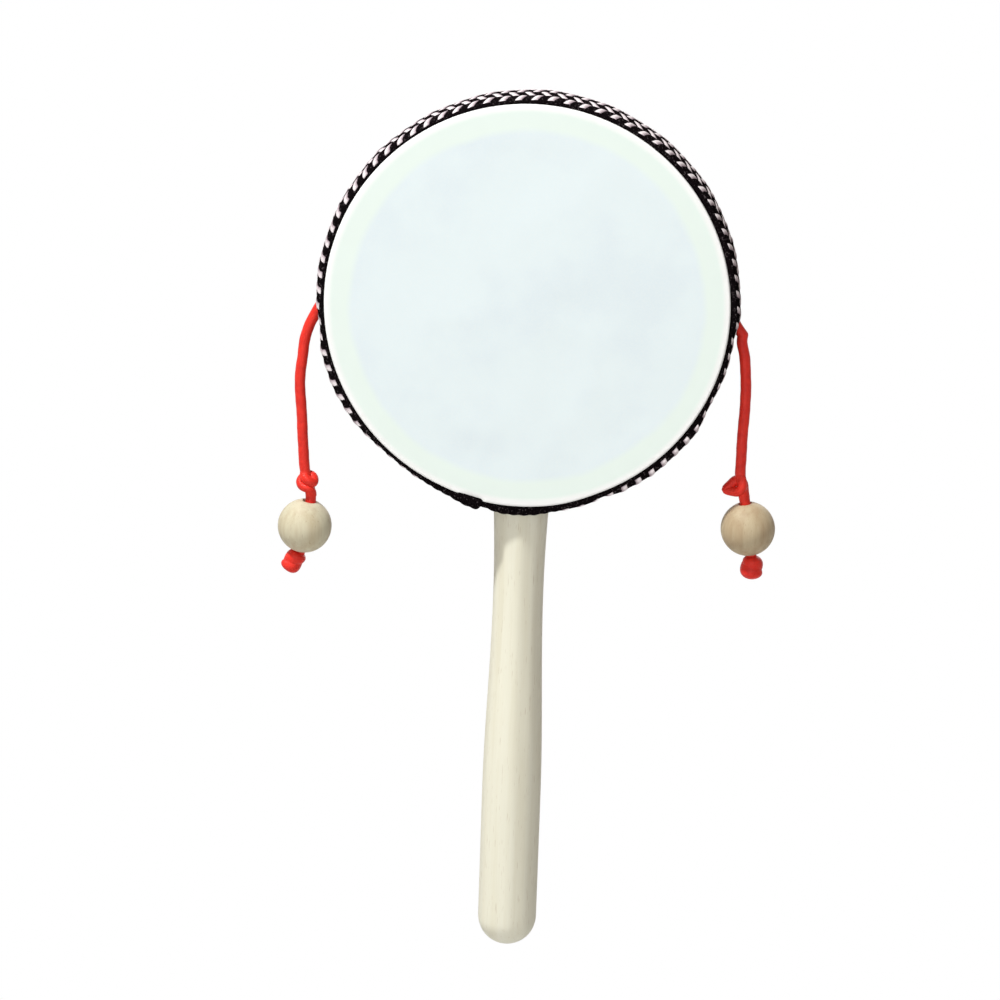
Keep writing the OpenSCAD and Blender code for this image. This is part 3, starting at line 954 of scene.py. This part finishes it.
def skinMaterial(spec):
    # Colour goes from the centre to the ring and the edge by distance from the drum's axis; the near-white
    # edge is a painted highlight
    material, tree, shader = newMaterial("drumSkin")
    place = objectMm(tree, (0, 0, -drumZ))
    xyz = add(tree, "ShaderNodeSeparateXYZ")
    tree.links.new(place, xyz.inputs[0])
    square = calc(tree, "MULTIPLY_ADD", xyz.outputs[0], xyz.outputs[0],
                  calc(tree, "MULTIPLY", xyz.outputs[2], xyz.outputs[2]))
    radius = calc(tree, "SQRT", square)
    blotch = noise(tree, place, spec["blotchScale"], 3.0, 0.55)
    grain = noise(tree, place, spec["grainScale"], 4.0, 0.6)
    wander = calc(tree, "MULTIPLY_ADD", blotch, spec["ringWander"], radius)
    ring = span(tree, wander, *(r + spec["ringWander"] / 2 for r in spec["ringFrom"]))
    mottled = mix(tree, span(tree, blotch, 0.42, 0.68), rgb(*spec["centre"]), rgb(*spec["mottle"]))
    flecked = mix(tree, span(tree, grain, 0.35, 0.75, 0.0, 0.25), mottled, rgb(*spec["fleck"]))
    ringed = mix(tree, ring, flecked, rgb(*spec["ring"]))
    # Painted highlight: the skin turns near white towards its edge
    highlighted = mix(tree, span(tree, radius, *spec["edgeHighlightFrom"]), ringed, rgb(*spec["edge"]))
    put(tree, shader.inputs["Base Color"], highlighted)
    put(tree, shader.inputs["Roughness"], span(tree, grain, 0.3, 0.7, *spec["roughness"]))
    height = calc(tree, "MULTIPLY_ADD", blotch, 3.0, grain)
    put(tree, shader.inputs["Normal"], bump(tree, height, *spec["bump"]))
    shader.inputs["Specular IOR Level"].default_value = spec["shine"]
    return material


threads = {
    "black": (9, 8, 10),
    "blackWarm": (30, 22, 24),
    "white": (246, 238, 240),
    # the floats' white in shade, used only as painted shade
    "shadedWhite": (150, 130, 140),
    "speck": (104, 96, 98),
    "perRow": 6.0,
    "perRepeat": 9.0,  # turns of the fibres
    "twist": 0.6,
    "plainEdge": 0.1,  # of a repeat, where the pattern ends beside the seam
    "jitter": (1.1, 0.08),  # waves in a mm, and share of a repeat by which the floats' ends wander
    "floatEdge": 0.06,  # of a repeat
    "lintScale": 2.2,
    "roughness": (0.42, 0.6),
    "bump": (0.5, 0.12),  # strength and mm
    "shine": 0.0,  # any shine would turn the blacks grey
}


def braidMaterial(spec, weave):
    # The same repeat, rows and slant as the floats that stand up in the mesh, with painted shade on the
    # floats
    material, tree, shader = newMaterial("braid")
    u, v = layUv(tree)
    for a, b, c, d, out, roll in weave["slumps"]:
        here = calc(tree, "MULTIPLY", span(tree, u, a, b), span(tree, u, c, d, 1.0, 0.0))
        v = calc(tree, "MULTIPLY_ADD", here, roll, v)
    away = calc(tree, "ABSOLUTE", v)
    fromMiddle = calc(tree, "POWER", calc(tree, "DIVIDE", away, rowsHalf, clamp=True), weave["rowPower"])
    acrossAll = calc(tree, "MULTIPLY_ADD", calc(tree, "SIGN", v), fromMiddle, 1.0)
    rowPlace = calc(tree, "MULTIPLY", acrossAll, weave["rows"] / 2)
    row = calc(tree, "FLOOR", rowPlace)
    across = calc(tree, "FRACT", rowPlace)
    odd = calc(tree, "MODULO", row, 2.0)
    slant = calc(tree, "MULTIPLY", calc(tree, "SUBTRACT", across, 0.5), weave["slant"])
    turned = calc(tree, "MULTIPLY", slant, calc(tree, "MULTIPLY_ADD", odd, -2.0, 1.0))
    shifted = calc(tree, "ADD", u, calc(tree, "MULTIPLY_ADD", odd, 0.5, turned))
    jitterScale, jitter = spec["jitter"]
    wander = noise(tree, stretched(tree, objectMm(tree), (jitterScale,) * 3), 1.0, 2.0)
    wander = calc(tree, "MULTIPLY_ADD", wander, jitter, -jitter / 2)
    place = calc(tree, "FRACT", calc(tree, "ADD", shifted, wander))
    rise = span(tree, place, 0.0, spec["floatEdge"])
    fall = span(tree, place, weave["white"] - spec["floatEdge"], weave["white"], 1.0, 0.0)
    inRow = calc(tree, "LESS_THAN", away, rowsHalf)
    plainLeft = weave["repeats"] - weave["plainLeft"]
    fromSeam = span(tree, u, weave["plainRight"] - spec["plainEdge"], weave["plainRight"])
    toSeam = span(tree, u, plainLeft, plainLeft + spec["plainEdge"], 1.0, 0.0)
    patterned = calc(tree, "MULTIPLY", calc(tree, "MULTIPLY", fromSeam, toSeam), inRow)
    white = calc(tree, "MULTIPLY", calc(tree, "MULTIPLY", rise, fall), patterned)
    rows = placeGroup(tree, threadGroup, Across=calc(tree, "MULTIPLY", rowPlace, spec["perRow"]),
                      Along=calc(tree, "MULTIPLY", u, spec["perRepeat"]), Twist=spec["twist"])
    # Painted shade: each float darkens from its start, and the gaps between threads darken, towards the
    # white's shaded copy
    startShade = span(tree, place, 0.0, 0.3, 0.8, 0.0)
    gapShade = span(tree, rows["Height"], 0.0, 0.6, 0.35, 0.0)
    paintedShade = calc(tree, "ADD", startShade, gapShade, clamp=True)
    pale = mix(tree, paintedShade, rgb(*spec["white"]), rgb(*spec["shadedWhite"]))
    warm = span(tree, rows["Fibre"], 0.3, 0.9, 0.0, 0.6)
    thread = mix(tree, warm, rgb(*spec["black"]), rgb(*spec["blackWarm"]))
    lint = noise(tree, objectMm(tree), spec["lintScale"], 1.0)
    dark = mix(tree, span(tree, lint, 0.62, 0.72, 0.0, 0.55), thread, rgb(*spec["speck"]))
    put(tree, shader.inputs["Base Color"], mix(tree, white, dark, pale))
    put(tree, shader.inputs["Roughness"], span(tree, rows["Fibre"], 0.0, 1.0, *spec["roughness"]))
    height = calc(tree, "MULTIPLY_ADD", rows["Fibre"], 0.35, rows["Height"])
    put(tree, shader.inputs["Normal"], bump(tree, height, *spec["bump"]))
    shader.inputs["Specular IOR Level"].default_value = spec["shine"]
    return material


satin = {
    "red": (236, 54, 40),
    # dark red for the cord's own blotches and for painted shade in the gaps between threads
    "blotchAndShadeRed": (194, 28, 25),
    "sheen": (255, 140, 120),
    "threadPitch": 0.42,  # mm
    "threadLean": 0.9,  # mm along for each mm round
    "fibreTurns": 2.0,  # in a mm
    "twist": 0.35,
    "roughness": (0.34, 0.5),
    "bump": (0.35, 0.08),  # strength and mm
    "shine": 0.22,
    "sheenWeight": 0.12,
    "sheenRough": 0.35,
}


def cordMaterial(spec):
    # Fine threads laid slanting round the cord, with painted shade in the gaps between them
    material, tree, shader = newMaterial("satinCord")
    along, around = layUv(tree)
    leaned = calc(tree, "MULTIPLY_ADD", around, spec["threadLean"], along)
    slanting = calc(tree, "DIVIDE", leaned, spec["threadPitch"])
    rows = placeGroup(tree, threadGroup, Across=slanting,
                      Along=calc(tree, "MULTIPLY", around, spec["fibreTurns"]), Twist=spec["twist"])
    blotch = noise(tree, objectMm(tree), 0.5, 3.0, 0.6)
    # Painted shade: the gaps between threads darken towards the dark red; the blotches are the cord's own
    # uneven tone
    gap = span(tree, rows["Height"], 0.0, 0.55, 0.6, 0.0)
    share = calc(tree, "ADD", gap, span(tree, blotch, 0.4, 0.75, 0.0, 0.45), clamp=True)
    put(tree, shader.inputs["Base Color"], mix(tree, share, rgb(*spec["red"]), rgb(*spec["blotchAndShadeRed"])))
    put(tree, shader.inputs["Roughness"], span(tree, rows["Fibre"], 0.0, 1.0, *spec["roughness"]))
    height = calc(tree, "MULTIPLY_ADD", rows["Fibre"], 0.3, rows["Height"])
    put(tree, shader.inputs["Normal"], bump(tree, height, *spec["bump"]))
    shader.inputs["Specular IOR Level"].default_value = spec["shine"]
    shader.inputs["Sheen Weight"].default_value = spec["sheenWeight"]
    shader.inputs["Sheen Roughness"].default_value = spec["sheenRough"]
    shader.inputs["Sheen Tint"].default_value = rgb(*spec["sheen"])
    return material


nailSpec = {
    "bright": (196, 197, 200),
    "dull": (150, 150, 152),
    "scratches": (3.0, 3.0, 0.4),  # waves in a mm, long up the nail
    "roughness": (0.25, 0.45),
}


def nailMaterial(spec):
    # Long scratches up the nail mix its two greys
    material, tree, shader = newMaterial("nailSteel")
    scratch = noise(tree, stretched(tree, objectMm(tree), spec["scratches"]), 1.0, 3.0, 0.6)
    put(tree, shader.inputs["Base Color"], mix(tree, scratch, rgb(*spec["bright"]), rgb(*spec["dull"])))
    put(tree, shader.inputs["Roughness"], span(tree, scratch, 0.3, 0.7, *spec["roughness"]))
    shader.inputs["Metallic"].default_value = 1.0
    return material


def dress(material, *pieces):
    for piece in pieces:
        piece.data.materials.clear()
        piece.data.materials.append(material)


wooden = {"handleWood": handle, "leftBeadWood": beads[0], "rightBeadWood": beads[1],
          "hoopWood": frame["nodes"]["hoop"]}
for name, piece in wooden.items():
    dress(woodMaterial(name, woods[name]), piece)
dress(skinMaterial(skinSpec), *heads)
dress(braidMaterial(threads, braidSpec), braid)
dress(cordMaterial(satin), *cordPieces)
dress(nailMaterial(nailSpec), frame["nodes"]["handle_nail"])
print("materials set")


# Studio, in metres: pale floor well below the handle's tip, a high key lamp from the left, a wide soft fill
# before the drum and another lamp behind it
studio = {
    "floorDrop": 0.16,
    "floorSize": 14.0,
    "floorColour": 0.62,
    "floorRough": 0.9,
    "floorGlow": (0.15, 0.28),  # distances from the handle's axis, between which it turns plain white
    "glowNear": 0.6,  # share of that white straight below the handle
    "world": 0.19,
    "worldTint": (1.0, 0.86, 0.77),
    "key": {"place": (-0.486, -0.407, 1.292), "aim": (0, 0, 0.1), "size": 0.1, "power": 18.6},
    "fill": {"place": (-0.113, -1.61, 0.443), "aim": (0, 0, 0.1), "size": 1.2, "power": 9.2},
    "back": {"place": (0.3, 1.7, 0.5), "aim": (0, 0, 0.1), "size": 1.2, "power": 8.0},
}


def seenDirectly(tree):
    # True for rays from the camera, and for those that a glossy or clear surface sends on
    path = add(tree, "ShaderNodeLightPath").outputs
    seen = calc(tree, "MAXIMUM", path["Is Camera Ray"], path["Is Glossy Ray"])
    return calc(tree, "MAXIMUM", seen, path["Is Transmission Ray"])


def makeFloor(spec):
    # One square; by distance from the handle's axis it turns from a lit floor to plain white
    size = spec["floorSize"] / 2
    z = cadBox[0][2] - spec["floorDrop"]
    mesh = bpy.data.meshes.new("floor")
    corners = [(-size, -size, z), (size, -size, z), (size, size, z), (-size, size, z)]
    mesh.from_pydata(corners, [], [(0, 1, 2, 3)])
    floor = bpy.data.objects.new("floor", mesh)
    bpy.context.scene.collection.objects.link(floor)
    material, tree, shader = newMaterial("floor")
    shader.inputs["Base Color"].default_value = (spec["floorColour"],) * 3 + (1.0,)
    shader.inputs["Roughness"].default_value = spec["floorRough"]
    glow = add(tree, "ShaderNodeEmission")
    glow.inputs["Strength"].default_value = 1.0
    blend = add(tree, "ShaderNodeMixShader")
    flat = add(tree, "ShaderNodeVectorMath", operation="MULTIPLY")
    tree.links.new(add(tree, "ShaderNodeTexCoord").outputs["Object"], flat.inputs[0])
    flat.inputs[1].default_value = (1, 1, 0)
    away = add(tree, "ShaderNodeVectorMath", operation="LENGTH")
    tree.links.new(flat.outputs[0], away.inputs[0])
    share = span(tree, away.outputs["Value"], *spec["floorGlow"], spec["glowNear"], 1.0)
    put(tree, blend.inputs[0], calc(tree, "MULTIPLY", seenDirectly(tree), share))
    tree.links.new(shader.outputs[0], blend.inputs[1])
    tree.links.new(glow.outputs[0], blend.inputs[2])
    tree.links.new(blend.outputs[0], tree.nodes["Material Output"].inputs["Surface"])
    mesh.materials.append(material)


def makeLamp(name, spec):
    data = bpy.data.lights.new(name, "AREA")
    data.shape = "DISK"
    data.size = spec["size"]
    data.energy = spec["power"]
    lamp = bpy.data.objects.new(name, data)
    lamp.location = spec["place"]
    lamp.rotation_euler = (Vector(spec["aim"]) - Vector(spec["place"])).to_track_quat("-Z", "Y").to_euler()
    bpy.context.scene.collection.objects.link(lamp)


def makeWorld(spec):
    world = bpy.data.worlds.new("studio")
    world.use_nodes = True
    tree = world.node_tree
    back = tree.nodes["Background"]
    seen = seenDirectly(tree)
    put(tree, back.inputs["Color"], mix(tree, seen, spec["worldTint"] + (1.0,), (1, 1, 1, 1)))
    put(tree, back.inputs["Strength"], span(tree, seen, 0.0, 1.0, spec["world"], 1.0, False))
    bpy.context.scene.world = world


makeFloor(studio)
for name in ("key", "fill", "back"):
    makeLamp(name, studio[name])
makeWorld(studio)
bpy.context.scene.view_settings.view_transform = "Standard"
print("studio set")
